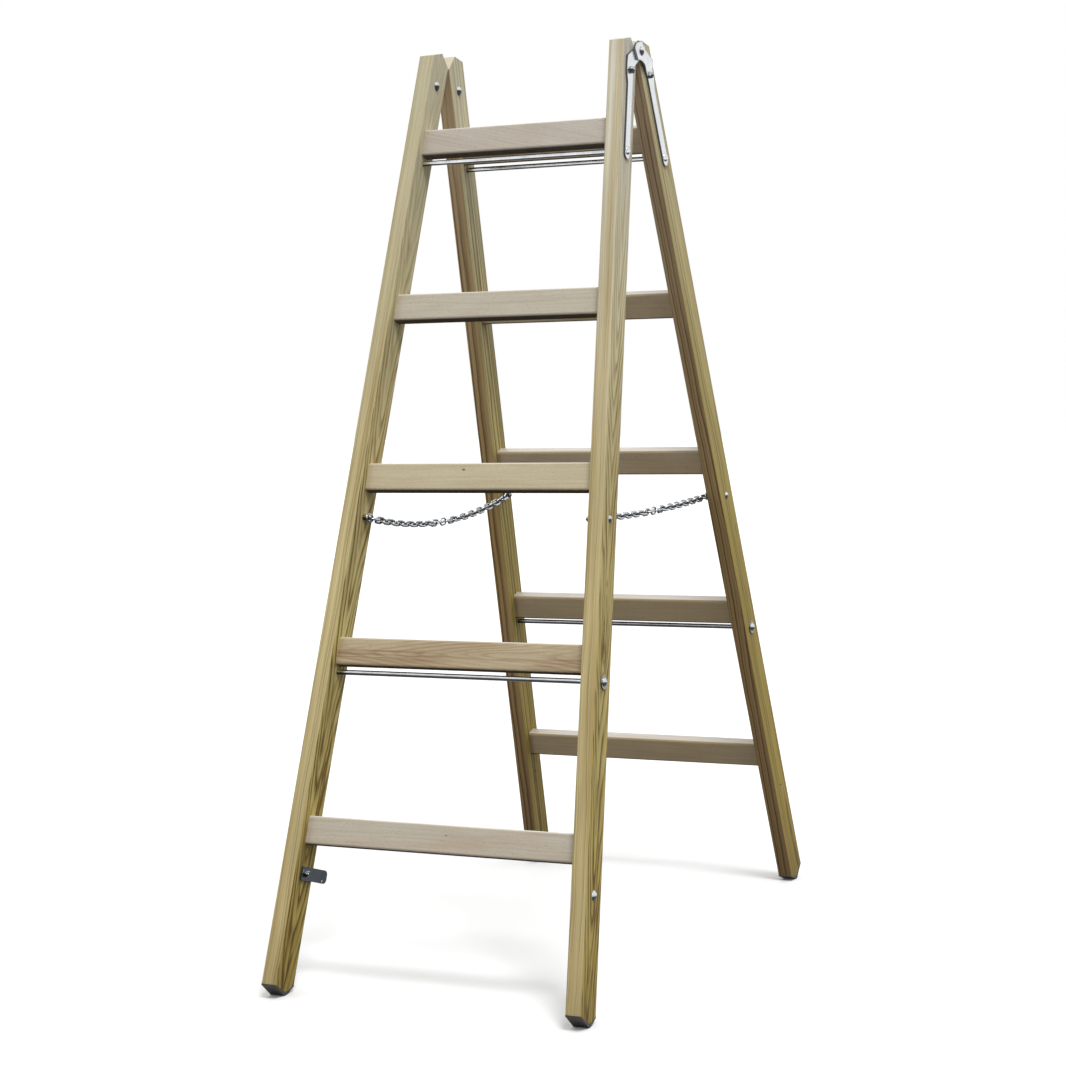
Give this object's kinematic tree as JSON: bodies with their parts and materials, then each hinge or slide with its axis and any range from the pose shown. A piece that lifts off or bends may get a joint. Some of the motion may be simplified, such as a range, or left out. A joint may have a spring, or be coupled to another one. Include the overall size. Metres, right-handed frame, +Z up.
{
  "type": "wooden stepladder",
  "caption": "Folding wooden stepladder: two tapered leaves of stiles and flat rungs, hinged at the top by steel arms, held open by side chains, with rubber soles.",
  "frame": {"origin": "on the floor, midway between the four feet of the open ladder", "axes": "+Z up, +X to the right across the rungs, +Y from the front leaf (the nearer one in the picture) to the rear leaf"},
  "size_m": [0.5288, 1.029, 1.4601],
  "materials": {
    "stile_wood": "planed softwood, straw to olive brown, long straight grain",
    "rung_wood": "planed beech, pinkish beige, fine grain",
    "zinc_plate": "bright zinc plating",
    "fastener_steel": "zinc plating",
    "catch_steel": "dark grey plain steel",
    "chain_steel": "bluish zinc plating",
    "sole_rubber": "matt black rubber"
  },
  "bodies": {
    "front_frame": {"catch_bolts": "fastener_steel", "catch_nuts": "fastener_steel", "catch_washers": "fastener_steel", "front_chain_bolts": "fastener_steel", "front_chain_nuts": "fastener_steel", "front_hinge_bolts": "fastener_steel", "front_hinge_nuts": "fastener_steel", "front_left_hinge_arm": "zinc_plate", "front_left_sole": "sole_rubber", "front_left_stile": "stile_wood", "front_lower_tie_rod": "fastener_steel", "front_right_hinge_arm": "zinc_plate", "front_right_sole": "sole_rubber", "front_right_stile": "stile_wood", "front_rung_1": "rung_wood", "front_rung_2": "rung_wood", "front_rung_3": "rung_wood", "front_rung_4": "rung_wood", "front_rung_5": "rung_wood", "front_tie_rod_washers": "fastener_steel", "front_upper_tie_rod": "fastener_steel", "hinge_pivot_rivets": "fastener_steel", "left_catch_plate": "catch_steel", "right_catch_plate": "catch_steel"},
    "rear_frame": {"rear_chain_bolts": "fastener_steel", "rear_chain_nuts": "fastener_steel", "rear_hinge_bolts": "fastener_steel", "rear_hinge_nuts": "fastener_steel", "rear_left_hinge_arm": "zinc_plate", "rear_left_sole": "sole_rubber", "rear_left_stile": "stile_wood", "rear_lower_tie_rod": "fastener_steel", "rear_right_hinge_arm": "zinc_plate", "rear_right_sole": "sole_rubber", "rear_right_stile": "stile_wood", "rear_rung_1": "rung_wood", "rear_rung_2": "rung_wood", "rear_rung_3": "rung_wood", "rear_rung_4": "rung_wood", "rear_rung_5": "rung_wood", "rear_tie_rod_washers": "fastener_steel", "rear_upper_tie_rod": "fastener_steel"},
    "left_chain_front_upper": {"left_chain_front_upper": "chain_steel"},
    "left_chain_front_lower": {"left_chain_front_lower": "chain_steel"},
    "left_chain_middle": {"left_chain_middle": "chain_steel"},
    "left_chain_rear_upper": {"left_chain_rear_upper": "chain_steel"},
    "left_chain_rear_lower": {"left_chain_rear_lower": "chain_steel"},
    "right_chain_front_upper": {"right_chain_front_upper": "chain_steel"},
    "right_chain_front_lower": {"right_chain_front_lower": "chain_steel"},
    "right_chain_middle": {"right_chain_middle": "chain_steel"},
    "right_chain_rear_upper": {"right_chain_rear_upper": "chain_steel"},
    "right_chain_rear_lower": {"right_chain_rear_lower": "chain_steel"}
  },
  "joints": [
    {"name": "fold", "type": "hinge", "parent": "front_frame", "child": "rear_frame", "pos_m": [0, 0, 1.44043], "axis": [-1, 0, 0], "range_deg": [0, 35.6], "deforming": ["left_chain_front_lower", "left_chain_middle", "left_chain_rear_lower", "right_chain_front_lower", "right_chain_middle", "right_chain_rear_lower"]},
    {"name": "left_chain_front_upper_turn", "type": "hinge", "parent": "front_frame", "child": "left_chain_front_upper", "pos_m": [-0.19024, -0.26313, 0.7141], "axis": [1, 0, 0], "range_deg": [-91.84, 0]},
    {"name": "left_chain_front_lower_turn", "type": "hinge", "parent": "left_chain_front_upper", "child": "left_chain_front_lower", "pos_m": [-0.19024, -0.10364, 0.69121], "axis": [1, 0, 0], "range_deg": [-13.56, 0]},
    {"name": "left_chain_middle_turn", "type": "hinge", "parent": "left_chain_front_lower", "child": "left_chain_middle", "pos_m": [-0.19024, -0.00641, 0.68708], "axis": [1, 0, 0], "range_deg": [0, 87.58]},
    {"name": "left_chain_rear_upper_turn", "type": "hinge", "parent": "rear_frame", "child": "left_chain_rear_upper", "pos_m": [-0.19024, 0.26313, 0.7141], "axis": [1, 0, 0], "range_deg": [0, 91.84]},
    {"name": "left_chain_rear_lower_turn", "type": "hinge", "parent": "left_chain_rear_upper", "child": "left_chain_rear_lower", "pos_m": [-0.19024, 0.10364, 0.69121], "axis": [1, 0, 0], "range_deg": [0, 13.56]},
    {"name": "right_chain_front_upper_turn", "type": "hinge", "parent": "front_frame", "child": "right_chain_front_upper", "pos_m": [0.19024, -0.26313, 0.7141], "axis": [1, 0, 0], "range_deg": [-97.84, 0]},
    {"name": "right_chain_front_lower_turn", "type": "hinge", "parent": "right_chain_front_upper", "child": "right_chain_front_lower", "pos_m": [0.19024, -0.10301, 0.70816], "axis": [1, 0, 0], "range_deg": [-9.36, 0]},
    {"name": "right_chain_middle_turn", "type": "hinge", "parent": "right_chain_front_lower", "child": "right_chain_middle", "pos_m": [0.19024, -0.00631, 0.70709], "axis": [1, 0, 0], "range_deg": [0, 89.38]},
    {"name": "right_chain_rear_upper_turn", "type": "hinge", "parent": "rear_frame", "child": "right_chain_rear_upper", "pos_m": [0.19024, 0.26313, 0.7141], "axis": [1, 0, 0], "range_deg": [0, 97.84]},
    {"name": "right_chain_rear_lower_turn", "type": "hinge", "parent": "right_chain_rear_upper", "child": "right_chain_rear_lower", "pos_m": [0.19024, 0.10301, 0.70816], "axis": [1, 0, 0], "range_deg": [0, 9.36]}
  ],
  "couplings": [
    {"joint": "left_chain_front_upper_turn", "follows": "fold", "ratio": -2.5793},
    {"joint": "left_chain_front_lower_turn", "follows": "fold", "ratio": -0.38039},
    {"joint": "left_chain_middle_turn", "follows": "fold", "ratio": 2.4597},
    {"joint": "left_chain_rear_upper_turn", "follows": "fold", "ratio": 2.5793},
    {"joint": "left_chain_rear_lower_turn", "follows": "fold", "ratio": 0.38039},
    {"joint": "right_chain_front_upper_turn", "follows": "fold", "ratio": -2.7478},
    {"joint": "right_chain_front_lower_turn", "follows": "fold", "ratio": -0.26254},
    {"joint": "right_chain_middle_turn", "follows": "fold", "ratio": 2.5103},
    {"joint": "right_chain_rear_upper_turn", "follows": "fold", "ratio": 2.7478},
    {"joint": "right_chain_rear_lower_turn", "follows": "fold", "ratio": 0.26254}
  ]
}
